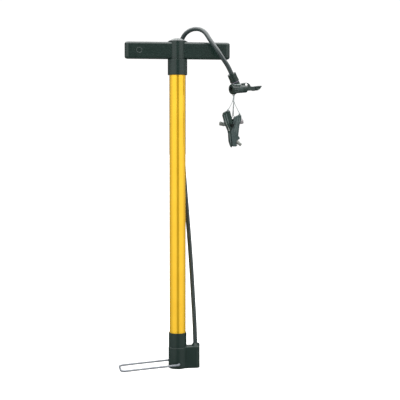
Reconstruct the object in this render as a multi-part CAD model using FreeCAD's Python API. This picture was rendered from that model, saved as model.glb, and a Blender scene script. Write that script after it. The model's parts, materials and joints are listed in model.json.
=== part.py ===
import FreeCAD, Part

import math
import os

from FreeCAD import Placement, Rotation, Vector

# Floor bike pump, in millimetres. +Z is up, the floor is z = 0 and the barrel's axis is x = y = 0.
# The handle runs along X. The hose leaves the base on the +X side and the foot stirrup reaches to -X.

X = Vector(1, 0, 0)
Y = Vector(0, 1, 0)
Z = Vector(0, 0, 1)

# --- driving dimensions -------------------------------------------------------------------------

FIT = 0.05                      # clearance of parts pushed or screwed together
RUNNING_FIT = 0.06              # radial clearance of shafts that turn or slide
PAST = 1.0                      # how far a cut runs past the face it leaves by
OVERLAP = 0.5                   # how far a joined solid reaches into its neighbour

# barrel
BARREL_R = 15.0
BARREL_WALL = 1.2
BARREL_BORE_R = BARREL_R - BARREL_WALL
BARREL_BOTTOM = 53.5
BARREL_LENGTH = 499.0
BARREL_TOP = BARREL_BOTTOM + BARREL_LENGTH

# barrel cap and the guide it holds
CAP_R = 17.8
CAP_BOTTOM = 540.0
CAP_TOP = 568.6
GUIDE_R = 8.0
GUIDE_BOTTOM = 554.0
GUIDE_TOP = 563.0
WIPER_TOP = 566.5
WIPER_R = 7.0
CAP_FOOT_EDGE_R = 1.2
CAP_TOP_EDGE_R = 0.4
CAP_ROD_GAP = 0.6
AIR_GROOVES = 4
AIR_GROOVE_R = 0.8

# piston rod and piston
ROD_R = 4.0
ROD_BOTTOM = 58.0
ROD_TOP = 597.0
CUP_BOTTOM = 59.5
CUP_WALL = 1.4
CUP_TOP = 69.0
CUP_R = BARREL_BORE_R - RUNNING_FIT
PISTON_HEAD_H = 9.0
PISTON_HEAD_R = BARREL_BORE_R - 0.4
PISTON_SLOTS = 6
PISTON_SLOT_R = 1.2
WASHER_H = 1.4
WASHER_R = 9.0
NUT_FLATS = 13.0
NUT_H = 6.5
JAM_NUT_H = 4.0
BUFFER_H = 10.0
BUFFER_R = 9.0
BUFFER_EDGE_R = 1.5
ROD_CHAMFER = 0.6

# handle
BAR_HALF_LENGTH = 96.6
BAR_HALF_DEPTH = 9.5
BAR_BOTTOM = 569.0
BAR_TOP = 600.0
BAR_END_R = 8.0
BAR_EDGE_R = 4.5
HUB_R = 14.8
HUB_TOP = 600.8
SADDLE_FOOT_R = 20.0
SADDLE_TOP_R = 15.6
SADDLE_TOP = 602.4
SADDLE_HALF_DEPTH = 6.0
SADDLE_GAP = 0.3
NUT_WELL_R = 9.4
NUT_WELL_FLOOR = 587.0
DOME_R = 14.5
DOME_TOP = 607.2
DOME_RIM_H = 1.5
SKIRT_WALL = 1.3
SKIRT_H = 3.0
TOP_WASHER_R = 8.0
ROUNDEL_X = -71.0
ROUNDEL_R = 5.2
ROUNDEL_GROOVE = 0.8
ROUNDEL_DEPTH = 0.5
PIP_R = 1.1
PIP_RISE = 0.4

# base
BASE_R = 17.1
BASE_SHOULDER = 39.0
COLLAR_R = 16.5
COLLAR_TOP = 66.0
BLOCK_END_X = 40.6
BLOCK_HALF_WIDTH = 11.0
BLOCK_TOP = 40.4
BOSS_X = 33.0
BOSS_FOOT_R = 7.4
BOSS_TOP_R = 4.7
BOSS_TOP = 45.4
BOSS_END_WALL_TOP = 44.4
BASE_EDGE_R = 2.5
SHOULDER_CHAMFER = 0.5
SHOULDER_GROOVE = 0.8
SHOULDER_GROOVE_R = 15.4
BLOCK_END_R = 7.0
BLOCK_EDGE_R = 1.6
SEAL_H = 1.5
WELL_R = 11.5
WELL_FLOOR = 45.0
DUCT_R = 3.0
PASSAGE_Z = 23.0
PASSAGE_R = 2.0

# outlet valve in the hose boss
VALVE_BORE_R = 4.6
VALVE_BORE_TOP = 40.5
PLUG_BOTTOM = 1.0
PLUG_TOP = 18.0
PLUG_SLOT = 1.2
SEAT_BOTTOM = 27.0
SEAT_H = 2.0
SEAT_HOLE_R = 1.6
BALL_R = 2.5
BALL_LAP = 0.03
SPRING_R = 2.1
SPRING_WIRE_R = 0.25
SPRING_TURNS = 4
SPRING_GAP = 0.3
NIPPLE_BOTTOM = 37.5
NIPPLE_R = 2.5
AIR_HOLE_R = 1.5

# foot stirrup
WIRE_R = 1.9
STIRRUP_PIVOT_Z = 10.0
STIRRUP_REACH = 107.0
STIRRUP_HALF_WIDTH = 25.0
STIRRUP_CORNER_R = 9.0
STIRRUP_EYE_BEND_R = 4.0
STIRRUP_END_Y = 8.0

# hose
HOSE_R = 4.0

# pump head: its own x runs from the mouth to the tail, and its own z is up
HEAD_MOUTH = Vector(94.6, -26.0, 514.0)
HEAD_HEADING = 21.7
HEAD_TILT = 4.4
HEAD_R = 8.0
HEAD_END = 32.5
HEAD_EDGE_R = 1.2
NECK_R = 7.4
NECK_START = 3.0
NECK_END = 9.0
MOUTH_CAP_R = 9.0
MOUTH_CAP_EDGE_R = 1.4
FINGER_RIBS = 18
FINGER_RIB_R = 0.7
FINGER_RIB_START = 2.0
CAP_CLEARANCE = 0.25
GROMMET_R = 6.5
GROMMET_BORE_R = 3.9
GROMMET_START = 1.6
GROMMET_END = 11.0
CHAMBER_R = 3.6
CHAMBER_START = 15.2
CHAMBER_END = 22.0
PLUNGER_R = 1.9
PLUNGER_TAIL = 32.7
PLUNGER_DISC_H = 1.8
PLUNGER_DISC_GAP = 0.1
PLUNGER_AIR_R = 0.9
PLUNGER_CROSS_R = 0.7
AIR_CROSS_X = 17.5
O_RING_OFFSET = 1.1
O_RING_GAP = 0.02

# hose inlet of the head, measured from the head's axis along the inlet's axis
INLET_X = 14.8
INLET_LEAN = 23.0
INLET_R = 7.5
INLET_END = 13.6
INLET_NIPPLE_R = 2.0
INLET_NIPPLE_BORE_R = 1.2
INLET_NIPPLE_START = 11.8
INLET_NIPPLE_END = 24.0
INLET_WASHER_R = 7.4
INLET_WASHER_END = 15.0
FERRULE_START = INLET_WASHER_END + FIT
FERRULE_END = 30.0
FERRULE_START_R = 8.0
FERRULE_END_R = 7.8
FERRULE_COLLAR_R = 8.4
FERRULE_COLLAR_H = 2.2
FERRULE_GROOVES = 16
FERRULE_GROOVE_R = 0.8
FERRULE_GROOVE_DEPTH = 0.4
FERRULE_GROOVE_INSET = 2.2

# thumb lever: its outline is in the head's own x and z
LEVER_PIN_X = 29.8
LEVER_PIN_Z = 6.3
LEVER_HUB_R = 3.7
LEVER_HALF_WIDTH = 2.9
LEVER_PIN_R = 1.8
LEVER_EDGE_R = 0.5
EAR_INSIDE = 3.1
EAR_OUTSIDE = 5.7
RIVET_RIM_R = 2.4
RIVET_RIM_H = 0.7
RIVET_EDGE = 0.25
SPOT_FACE_R = 2.7
RAIL_OUTLINE = [(19.6, 3.0), (21.4, 8.6), (LEVER_PIN_X, 9.5), (LEVER_PIN_X, 3.0)]
NOSE_X = PLUNGER_TAIL + 0.3
LEVER_OUTLINE = [
    (NOSE_X, -5.0), (NOSE_X, 4.2), (LEVER_PIN_X, LEVER_PIN_Z + LEVER_HUB_R), (34.6, 9.4), (38.0, 8.0),
    (40.2, 5.5), (41.2, 2.8), (46.0, 2.2), (53.0, 2.0), (53.0, -4.9), (50.2, -5.8), (48.0, -6.0),
    (45.0, -5.0), (38.0, -5.0),
]
LEVER_ARM_START = 42.0
PAD_OUTLINE = [
    (51.8, 1.7), (53.0, 2.8), (63.8, 2.8), (65.2, 1.6), (60.5, -3.4), (57.5, -5.0), (54.5, -5.6),
    (52.2, -4.4),
]
PAD_HALF_WIDTH = 5.0
PAD_EDGE = 0.8
DISH_R = 4.6
DISH_CENTRE = (57.2, -8.2, -1.4)

# lug under the mouth that the adapters hang from; its hole runs along Y
LUG_X = 5.0
LUG_Z = -10.9
LUG_R = 2.0
LUG_HALF_WIDTH = 0.8
LUG_RISE = 2.6
LUG_HOLE_R = 1.35

# spring clip adapter: outlines and offsets are (x, z) from its pin
CLIP_PIN = Vector(95.9, -24.0, 448.1)
CLIP_HALF_DEPTH = 5.0
CLIP_EDGE = 0.7
CLIP_PIN_R = 1.5
PIN_HEAD_R = 2.0
PIN_HEAD_H = 0.9
KNUCKLE_R = 3.6
KNUCKLE_GAP = 0.3
KNUCKLE_HALF = 2.3
LEFT_ARM = [
    (-16.4, 18.3), (-15.5, 22.7), (-12.4, 24.9), (-6.1, 28.0), (-4.4, 27.2), (-3.0, 25.4), (-1.7, 19.6),
    (0.2, 13.0), (1.2, 8.0), (0.6, 4.5), (-0.6, -5.0), (-2.4, -11.0), (-1.6, -24.0), (0.2, -36.0),
    (0.6, -39.4), (-0.6, -39.8), (-3.0, -34.7), (-4.8, -28.5), (-5.3, -21.5), (-5.6, -15.0),
    (-7.0, -9.1), (-9.7, -2.5), (-13.1, 5.9), (-15.0, 13.0),
]
RIGHT_ARM = [
    (1.6, 4.5), (3.4, 9.5), (4.1, 14.3), (5.6, 15.8), (15.7, 20.5), (17.5, 18.3), (17.9, 13.0),
    (15.7, 5.9), (14.3, 0.6), (13.4, -5.6), (12.6, -13.5), (12.1, -18.8), (14.2, -20.6), (14.8, -24.6),
    (12.4, -25.6), (9.9, -27.0), (8.2, -29.4), (7.2, -31.6), (9.6, -34.5), (10.2, -36.5), (7.5, -38.2),
    (3.2, -38.2), (1.4, -36.8), (0.7, -30.0), (-0.9, -24.0), (-1.7, -11.4), (0.9, -5.0),
]
WEB_LOW = (-3.0, 3.6, 3.0)
WEB_HIGH = (4.0, CLIP_HALF_DEPTH, 12.0)
WEB_ROOM_LOW = (-5.0, 3.3, 2.0)
WEB_ROOM_HIGH = (6.8, CLIP_HALF_DEPTH + PAST, 13.5)
LEFT_STRING_HOLE = Vector(-6.9, 0, 25.0)
RIGHT_STRING_HOLE = Vector(14.9, 0, 17.6)
STRING_HOLE_R = 0.8

# torsion spring of the clip
COIL_ROOM = 3.2
COIL_GAP = 0.3
COIL_H = 2.4
COIL_OUTER_R = 2.8
COIL_INNER_R = 1.8
COIL_GROOVES = 2
COIL_PITCH = 0.8
COIL_GROOVE = 0.2
COIL_GROOVE_DEPTH = 0.3
SPRING_LEG_R = 0.34
SPRING_LEG_LENGTH = 8.5
SPRING_LEG_SLOPE = 0.42
SPRING_LEG_LEVELS = ((-1, 0.35), (1, 2.0))

# valve hole, seal and outlet stub of the clip's jaws
VALVE_HOLE_R = 2.75
SEAL_CENTRE = CLIP_PIN + Vector(0, 0, -26.1)
SEAL_R = 3.1
SEAL_START = 0.9
SEAL_END = 3.6
STUB_ROOT = CLIP_PIN + Vector(5.8, 0, -26.1)
STUB_TILT = math.radians(-38)
STUB_AXIS = Vector(math.cos(STUB_TILT), 0, math.sin(STUB_TILT))
STUB_R = 3.4
STUB_TIP_R = 2.9
STUB_IN = 1.2
STUB_STEP = 9.5
STUB_END = 15.4
STUB_BORE_R = 1.0
STUB_GROOVES = 3
STUB_GROOVE_START = 10.4
STUB_GROOVE_PITCH = 1.5
STUB_GROOVE = 0.6
STUB_GROOVE_R = 2.5

# ball needle
NEEDLE_END = Vector(75.7, -13.2, 452.1)
NEEDLE_TILT = math.radians(-11)
NEEDLE_AXIS = Vector(math.cos(NEEDLE_TILT), 0, math.sin(NEEDLE_TILT))
NEEDLE_HEAD_R = 3.75
NEEDLE_HEAD_LENGTH = 10.0
NEEDLE_NECK_R = 2.4
NEEDLE_NECK_END = 13.5
NEEDLE_R = 1.0
NEEDLE_LENGTH = 31.0
NEEDLE_GROOVES = 3
NEEDLE_GROOVE_START = 1.6
NEEDLE_GROOVE_PITCH = 1.5
NEEDLE_GROOVE = 0.7
NEEDLE_GROOVE_R = 3.35

# cone nozzle
NOZZLE_END = Vector(120.8, -6.6, 456.6)
NOZZLE_TILT = math.radians(192)
NOZZLE_AXIS = Vector(math.cos(NOZZLE_TILT), 0, math.sin(NOZZLE_TILT))
NOZZLE_FLANGE_R = 5.0
NOZZLE_FLANGE_H = 5.6
NOZZLE_FLANGE_EDGE_R = 0.8
NOZZLE_WAIST_R = 3.0
NOZZLE_CONE_START = 8.6
NOZZLE_CONE_R = 3.8
NOZZLE_TIP_R = 2.2
NOZZLE_LENGTH = 22.0
NOZZLE_BORE_R = 1.2

# strings
STRING_R = 0.55


# --- helpers ------------------------------------------------------------------------------------

def cylinder(radius, start, end, at=Vector(0, 0, 0), axis=Z):
    """A cylinder along an axis through a point, from one distance along it to another."""
    return Part.makeCylinder(radius, end - start, at + axis * start, axis)


def tube(outer, inner, start, end, at=Vector(0, 0, 0), axis=Z):
    """A round tube, with the bore cut right through."""
    bore = cylinder(inner, start - PAST, end + PAST, at, axis)
    return cylinder(outer, start, end, at, axis).cut(bore)


def cone(radius_a, radius_b, start, end, at=Vector(0, 0, 0), axis=Z):
    """A cone between two radii along an axis through a point."""
    return Part.makeCone(radius_a, radius_b, end - start, at + axis * start, axis)


def box(low, high):
    """A box between two corners."""
    size = Vector(*high) - Vector(*low)
    return Part.makeBox(size.x, size.y, size.z, Vector(*low))


def ring_of_points(count, radius, half_step=False):
    """Evenly spaced points on a circle in the XY plane, the first on X or half a step past it."""
    step = 2 * math.pi / count
    first = step / 2 if half_step else 0.0
    angles = [first + step * n for n in range(count)]
    return [Vector(radius * math.cos(angle), radius * math.sin(angle), 0) for angle in angles]


def ring_cut(floor_r, start, width, at, axis):
    """What a turned groove takes away from a round bar: everything outside its floor's radius."""
    return tube(floor_r + 2 * PAST, floor_r, start, start + width, at, axis)


def hexagon(flats, start, end):
    """A hexagonal prism on the Z axis by its width across flats."""
    corners = ring_of_points(6, flats / math.sqrt(3))
    prism = Part.Face(Part.makePolygon(corners + corners[:1])).extrude(Vector(0, 0, end - start))
    prism.translate(Vector(0, 0, start))
    return prism


def turned(outline):
    """A solid of revolution about the Z axis from (radius, height) points."""
    loop = Part.makePolygon([Vector(r, 0, h) for r, h in outline + outline[:1]])
    return Part.Face(loop).revolve(Vector(0, 0, 0), Z, 360)


def edges_where(shape, test):
    """The edges whose middle point passes a test."""
    found = []
    for edge in shape.Edges:
        middle = edge.valueAt((edge.FirstParameter + edge.LastParameter) / 2)
        if test(middle):
            found.append(edge)
    return found


def rounded_path(points, radii):
    """Straight runs between the points, joined by tangent arcs of the given radii."""
    edges = []
    start = points[0]
    for before, corner, after, radius in zip(points, points[1:], points[2:], radii):
        arriving = (corner - before).normalize()
        leaving = (after - corner).normalize()
        half_turn = arriving.getAngle(leaving) / 2
        reach = radius * math.tan(half_turn)
        arc_start = corner - arriving * reach
        arc_end = corner + leaving * reach
        inward = (leaving - arriving).normalize()
        middle = corner + inward * (radius / math.cos(half_turn) - radius)
        edges.append(Part.LineSegment(start, arc_start).toShape())
        edges.append(Part.Arc(arc_start, middle, arc_end).toShape())
        start = arc_end
    edges.append(Part.LineSegment(start, points[-1]).toShape())
    return Part.Wire(edges)


def swept(path, radius):
    """A round bar along a path."""
    start = path.Edges[0].Vertexes[0].Point
    heading = path.Edges[0].tangentAt(path.Edges[0].FirstParameter)
    circle = Part.Wire([Part.makeCircle(radius, start, heading)])
    sweep = Part.BRepOffsetAPI.MakePipeShell(path)
    sweep.setFrenetMode(False)
    sweep.add(circle, False, False)
    sweep.build()
    sweep.makeSolid()
    return sweep.shape()


def cord(name, route, radius):
    """The tube of a free cord: each arc is as large as the two runs beside it allow."""
    points = [Vector(*p) for p in route]
    runs = [(b - a).Length for a, b in zip(points, points[1:])]
    radii = []
    for n in range(1, len(points) - 1):
        half_turn = (points[n] - points[n - 1]).getAngle(points[n + 1] - points[n]) / 2
        radii.append(0.45 * min(runs[n - 1], runs[n]) / math.tan(half_turn))
    path = rounded_path(points, radii)
    solid = swept(path, radius)
    expected = math.pi * radius ** 2 * path.Length
    print(name, "length", round(path.Length, 1), "mm, radii", [round(r, 1) for r in radii])
    print(name, "volume over section times length", round(solid.Volume / expected, 4))
    return solid


def coil(radius, wire_r, start, end, turns, at):
    """A helical spring of round wire that stands up on a point."""
    helix = Part.makeHelix((end - start) / turns, end - start, radius)
    ring = Part.Wire([Part.makeCircle(wire_r, Vector(radius, 0, 0), Y)])
    spring = Part.Wire(helix.Edges).makePipeShell([ring], True, True)
    spring.translate(at + Z * start)
    return spring


def plate(outline, half_depth, at):
    """A plate standing in the XZ plane, from (x, z) points measured from a centre."""
    loop = Part.makePolygon([Vector(x, -half_depth, z) for x, z in outline + outline[:1]])
    solid = Part.Face(loop).extrude(Vector(0, 2 * half_depth, 0))
    solid.translate(at)
    return solid


def in_head(shape):
    """Places a shape made in the pump head's own frame."""
    shape.Placement = HEAD_FRAME.multiply(shape.Placement)
    return shape


def save(name, shape):
    """Writes one node."""
    if not shape.isValid() or not shape.Solids or shape.Volume <= 0:
        raise ValueError(name + " is not a valid solid")
    if len(shape.Solids) == 1:
        shape = shape.Solids[0]
    shape.exportStep("parts/" + name + ".step")
    print(name, round(shape.Volume), "mm3", len(shape.Solids), "solid")


HEAD_FRAME = Placement(HEAD_MOUTH, Rotation(Z, HEAD_HEADING) * Rotation(Y, -HEAD_TILT))
INLET_AXIS = Vector(-math.sin(math.radians(INLET_LEAN)), 0, math.cos(math.radians(INLET_LEAN)))
INLET_ROOT = Vector(INLET_X, 0, 0)
LUG_CENTRE = HEAD_FRAME.multVec(Vector(LUG_X, 0, LUG_Z))

# The hose leaves the boss upwards, leans behind the barrel, rises behind the handle, arches over
# the bar to its front and hangs down to the pump head. Its last two points lie on the ferrule's axis.
HOSE_ROUTE = [
    (33.0, 0.0, 45.6),
    (31.9, 0.5, 82.0),
    (29.8, 3.4, 124.0),
    (26.5, 9.6, 195.0),
    (21.8, 15.6, 268.0),
    (15.6, 21.0, 350.0),
    (11.2, 24.3, 430.0),
    (9.8, 25.6, 500.0),
    (10.1, 26.2, 560.0),
    (9.5, 27.3, 590.9),
    (11.0, 26.0, 605.6),
    (17.4, 20.7, 617.8),
    (27.9, 12.9, 624.9),
    (40.4, 3.3, 625.2),
    (49.9, -8.2, 618.3),
    (57.4, -17.8, 602.6),
    (69.9, -25.2, 584.5),
    (80.3, -28.4, 567.4),
    (89.5, -28.03, 554.2),
    (95.45, -25.66, 541.84),
]

# One string ties the clip's two arms and the other ties the needle and the nozzle. Both fold over
# inside the lug's hole.
CLIP_STRING_ROUTE = [
    (89.9, -24.3, 477.0),
    (93.9, -24.7, 483.8),
    (97.2, -25.2, 490.6),
    (98.9, -25.5, 497.6),
    (99.4, -25.4, 503.9),
    (99.4, -22.2, 503.9),
    (99.4, -22.3, 497.4),
    (101.1, -22.5, 490.2),
    (105.6, -23.4, 480.4),
    (110.9, -24.0, 469.8),
]
NEEDLE_STRING_ROUTE = [
    (87.3, -13.2, 453.1),
    (91.5, -13.4, 456.0),
    (97.5, -14.2, 459.5),
    (99.6, -15.6, 466.0),
    (99.8, -17.4, 474.0),
    (99.7, -20.6, 483.0),
    (99.9, -23.9, 490.6),
    (100.65, -25.5, 497.6),
    (100.6, -25.5, 503.9),
    (100.6, -22.2, 503.9),
    (100.9, -21.9, 497.4),
    (101.0, -19.9, 489.6),
    (101.2, -17.6, 482.0),
    (101.1, -16.0, 474.0),
    (101.3, -14.8, 466.5),
    (104.5, -12.0, 462.6),
    (109.4, -8.4, 460.6),
    (113.8, -6.6, 458.7),
]


# --- barrel and cap -----------------------------------------------------------------------------

def barrel_tube():
    """Steel barrel."""
    return tube(BARREL_R, BARREL_BORE_R, BARREL_BOTTOM, BARREL_TOP)


def barrel_cap():
    """Moulded cap over the barrel's top, with a stepped bore for the guide bush and the wiper."""
    cap = cylinder(CAP_R, CAP_BOTTOM, CAP_TOP)
    cap = cap.makeFillet(CAP_FOOT_EDGE_R, edges_where(cap, lambda p: p.z == CAP_BOTTOM))
    cap = cap.makeFillet(CAP_TOP_EDGE_R, edges_where(cap, lambda p: p.z == CAP_TOP))
    cap = cap.cut(cylinder(BARREL_R + FIT, CAP_BOTTOM - PAST, BARREL_TOP + FIT))
    cap = cap.cut(cylinder(GUIDE_R, BARREL_TOP, GUIDE_TOP))
    cap = cap.cut(cylinder(WIPER_R, GUIDE_TOP - PAST, WIPER_TOP))
    return cap.cut(cylinder(ROD_R + CAP_ROD_GAP, WIPER_TOP - PAST, CAP_TOP + PAST))


def rod_guide_bush():
    """Nylon bush that the rod slides in, flanged under the cap, with grooves that let air in."""
    bore_r = ROD_R + RUNNING_FIT
    bush = tube(GUIDE_R - FIT, bore_r, GUIDE_BOTTOM, GUIDE_TOP)
    for place in ring_of_points(AIR_GROOVES, bore_r, half_step=True):
        bush = bush.cut(cylinder(AIR_GROOVE_R, GUIDE_BOTTOM - PAST, GUIDE_TOP + PAST, place))
    return bush


def rod_wiper():
    """Felt ring above the bush."""
    return tube(WIPER_R - FIT, ROD_R + 2 * FIT, GUIDE_TOP + FIT, WIPER_TOP - FIT)


# --- piston and rod -----------------------------------------------------------------------------

CUP_FLOOR = CUP_TOP - CUP_WALL * 1.5


def cup_seal():
    """Rubber cup that opens downwards and seals on the barrel as the handle is pushed."""
    inner_r = CUP_R - CUP_WALL
    outline = [
        (ROD_R + RUNNING_FIT, CUP_FLOOR),
        (inner_r - 1.0, CUP_FLOOR),
        (inner_r, CUP_BOTTOM + 1.5),
        (CUP_R - 0.5, CUP_BOTTOM),
        (CUP_R, CUP_BOTTOM + 0.6),
        (CUP_R, CUP_TOP - 1.5),
        (CUP_R - 1.5, CUP_TOP),
        (ROD_R + RUNNING_FIT, CUP_TOP),
    ]
    return turned(outline)


def piston_rod():
    """Steel rod with a chamfer at each end."""
    rod = cylinder(ROD_R, ROD_BOTTOM, ROD_TOP)
    return rod.makeChamfer(ROD_CHAMFER, edges_where(rod, lambda p: p.z in (ROD_BOTTOM, ROD_TOP)))


def on_rod(shape):
    """Bores a washer, nut or ring for the piston rod."""
    return shape.cut(cylinder(ROD_R + FIT / 2, 0, ROD_TOP))


def piston_washer():
    """Steel washer inside the cup, under its floor."""
    top = CUP_FLOOR - FIT
    return on_rod(cylinder(WASHER_R, top - WASHER_H, top))


def piston_nut():
    """Nut under the washer, at the rod's lower end."""
    top = CUP_FLOOR - WASHER_H - 2 * FIT
    return on_rod(hexagon(NUT_FLATS, CUP_BOTTOM + 0.3, top))


def piston_head():
    """Nylon disc behind the cup, with shallow slots that let air past on the up stroke."""
    disc = on_rod(cylinder(PISTON_HEAD_R, CUP_TOP + FIT, CUP_TOP + PISTON_HEAD_H))
    for place in ring_of_points(PISTON_SLOTS, PISTON_HEAD_R):
        slot = cylinder(PISTON_SLOT_R, CUP_TOP - PAST, CUP_TOP + PISTON_HEAD_H + PAST, place)
        disc = disc.cut(slot)
    return disc


def piston_jam_nut():
    """Thin nut that locks the piston head on the rod."""
    bottom = CUP_TOP + PISTON_HEAD_H + FIT
    return on_rod(hexagon(NUT_FLATS, bottom, bottom + JAM_NUT_H))


def buffer_ring():
    """Rubber ring that meets the guide bush at the top of the stroke."""
    bottom = CUP_TOP + PISTON_HEAD_H + JAM_NUT_H + 2 * FIT
    ring = cylinder(BUFFER_R, bottom, bottom + BUFFER_H)
    ring = ring.makeFillet(BUFFER_EDGE_R, edges_where(ring, lambda p: p.z > bottom + BUFFER_H - 0.1))
    return on_rod(ring)


# --- handle -------------------------------------------------------------------------------------

def handle_bar():
    """T handle: a cross bar and its hub in one moulding, with a plain raised roundel on the left."""
    bar = box((-BAR_HALF_LENGTH, -BAR_HALF_DEPTH, BAR_BOTTOM), (BAR_HALF_LENGTH, BAR_HALF_DEPTH, BAR_TOP))
    corners = edges_where(bar, lambda p: BAR_BOTTOM < p.z < BAR_TOP)
    bar = bar.makeFillet(BAR_END_R, corners)
    bar = bar.makeFillet(BAR_EDGE_R, edges_where(bar, lambda p: p.z in (BAR_BOTTOM, BAR_TOP)))
    hub = cylinder(HUB_R, BAR_BOTTOM, HUB_TOP)
    hub = hub.makeFillet(CAP_TOP_EDGE_R, edges_where(hub, lambda p: p.z == BAR_BOTTOM))
    saddle = cone(SADDLE_FOOT_R, SADDLE_TOP_R, BAR_TOP - OVERLAP, SADDLE_TOP)
    saddle_room = (2 * SADDLE_FOOT_R, SADDLE_HALF_DEPTH, SADDLE_TOP)
    saddle = saddle.common(box([-size for size in saddle_room[:2]] + [BAR_BOTTOM], saddle_room))
    saddle = saddle.cut(cylinder(DOME_R + SADDLE_GAP, HUB_TOP, SADDLE_TOP + PAST))
    bar = bar.fuse([hub, saddle])
    front = Vector(ROUNDEL_X, 0, (BAR_BOTTOM + BAR_TOP) / 2)
    groove_floor = BAR_HALF_DEPTH - ROUNDEL_DEPTH
    groove = tube(ROUNDEL_R, ROUNDEL_R - ROUNDEL_GROOVE, groove_floor, BAR_HALF_DEPTH + PAST, front, -Y)
    pip = cylinder(PIP_R, BAR_HALF_DEPTH - OVERLAP, BAR_HALF_DEPTH + PIP_RISE, front, -Y)
    bar = bar.cut(groove).fuse(pip)
    return on_rod(bar.cut(cylinder(NUT_WELL_R, NUT_WELL_FLOOR, HUB_TOP + PAST)))


def rod_washer():
    """Washer under the rod's top nut."""
    return on_rod(cylinder(TOP_WASHER_R, NUT_WELL_FLOOR + FIT, NUT_WELL_FLOOR + WASHER_H))


def rod_nut():
    """Nut that holds the handle on the rod."""
    bottom = NUT_WELL_FLOOR + WASHER_H + FIT
    return on_rod(hexagon(NUT_FLATS, bottom, bottom + NUT_H))


def hub_dome():
    """Snap-in dome that hides the nut."""
    rise = DOME_TOP - HUB_TOP - DOME_RIM_H
    sphere_r = (DOME_R ** 2 + rise ** 2) / (2 * rise)
    ball = Part.makeSphere(sphere_r, Vector(0, 0, DOME_TOP - sphere_r))
    dome = cylinder(DOME_R, HUB_TOP + FIT, DOME_TOP + PAST).common(ball)
    skirt = cylinder(NUT_WELL_R - FIT, HUB_TOP - SKIRT_H, HUB_TOP + OVERLAP)
    inside = cylinder(NUT_WELL_R - SKIRT_WALL, HUB_TOP - SKIRT_H - PAST, HUB_TOP + PAST)
    return dome.fuse(skirt).cut(inside)


# --- base and outlet valve ----------------------------------------------------------------------

BOSS_FOOT = Vector(BOSS_X, 0, 0)


def base_body():
    """Moulded base: barrel socket, side block with the hose boss, and the passage between them."""
    foot = cylinder(BASE_R, 0, BASE_SHOULDER)
    foot = foot.makeFillet(BASE_EDGE_R, edges_where(foot, lambda p: p.z == 0))
    foot = foot.makeChamfer(SHOULDER_CHAMFER, edges_where(foot, lambda p: p.z == BASE_SHOULDER))
    collar = cylinder(COLLAR_R, BASE_SHOULDER - OVERLAP, COLLAR_TOP)
    block = box((0, -BLOCK_HALF_WIDTH, 0), (BLOCK_END_X, BLOCK_HALF_WIDTH, BLOCK_TOP))
    corners = edges_where(block, lambda p: p.x == BLOCK_END_X and 0 < p.z < BLOCK_TOP and abs(p.y) > 1)
    block = block.makeFillet(BLOCK_END_R, corners)
    rims = edges_where(block, lambda p: p.z in (0, BLOCK_TOP) and p.x > 1)
    block = block.makeFillet(BLOCK_EDGE_R, rims)
    boss = cone(BOSS_FOOT_R, BOSS_TOP_R, BLOCK_TOP - OVERLAP, BOSS_TOP, BOSS_FOOT)
    end_wall = box((BOSS_X, -BOSS_TOP_R, BLOCK_TOP - BLOCK_EDGE_R - OVERLAP),
                   (BLOCK_END_X, BOSS_TOP_R, BOSS_END_WALL_TOP))
    foot = foot.fuse(collar)
    foot = foot.cut(ring_cut(SHOULDER_GROOVE_R, BASE_SHOULDER, SHOULDER_GROOVE, Vector(0, 0, 0), Z))
    base = foot.fuse([block, boss, end_wall]).removeSplitter()
    base = base.cut(cylinder(BARREL_R + FIT, BARREL_BOTTOM - SEAL_H, COLLAR_TOP + PAST))
    base = base.cut(cylinder(WELL_R, WELL_FLOOR, BARREL_BOTTOM))
    base = base.cut(cylinder(DUCT_R, PASSAGE_Z - PASSAGE_R, WELL_FLOOR + PAST))
    base = base.cut(cylinder(PASSAGE_R, 0, BOSS_X, Vector(0, 0, PASSAGE_Z), X))
    base = base.cut(cylinder(VALVE_BORE_R, -PAST, VALVE_BORE_TOP, BOSS_FOOT))
    base = base.cut(cylinder(NIPPLE_R + FIT, VALVE_BORE_TOP - PAST, BOSS_TOP + PAST, BOSS_FOOT))
    pivot = Vector(0, 0, STIRRUP_PIVOT_Z)
    for side in (Y, -Y):
        hole = cylinder(WIRE_R + RUNNING_FIT, STIRRUP_END_Y - PAST, BASE_R + PAST, pivot, side)
        base = base.cut(hole)
    return base


def barrel_seal():
    """Rubber ring that the barrel's lower edge presses on."""
    return tube(BARREL_R - FIT, WELL_R, BARREL_BOTTOM - SEAL_H + FIT, BARREL_BOTTOM - FIT)


def valve_plug():
    """Slotted plug that closes the outlet valve's bore from below."""
    plug = cylinder(VALVE_BORE_R - FIT, PLUG_BOTTOM, PLUG_TOP, BOSS_FOOT)
    low = (BOSS_X - VALVE_BORE_R - PAST, -PLUG_SLOT / 2, 0)
    high = (BOSS_X + VALVE_BORE_R + PAST, PLUG_SLOT / 2, PLUG_BOTTOM + PLUG_SLOT)
    return plug.cut(box(low, high))


def valve_seat():
    """Brass ring that the outlet ball closes on."""
    return tube(VALVE_BORE_R - FIT, SEAT_HOLE_R, SEAT_BOTTOM, SEAT_BOTTOM + SEAT_H, BOSS_FOOT)


def ball_centre():
    """Where the closed ball's centre is, just clear of the seat's edge."""
    rise = math.sqrt(BALL_R ** 2 - SEAT_HOLE_R ** 2) + BALL_LAP
    return Vector(BOSS_X, 0, SEAT_BOTTOM + SEAT_H + rise)


def outlet_ball():
    """Ball of the outlet valve."""
    return Part.makeSphere(BALL_R, ball_centre())


def outlet_spring():
    """Light spring that closes the ball."""
    start = ball_centre().z + BALL_R * 0.75 + SPRING_GAP
    return coil(SPRING_R, SPRING_WIRE_R, start, NIPPLE_BOTTOM - SPRING_GAP, SPRING_TURNS, BOSS_FOOT)


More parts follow.
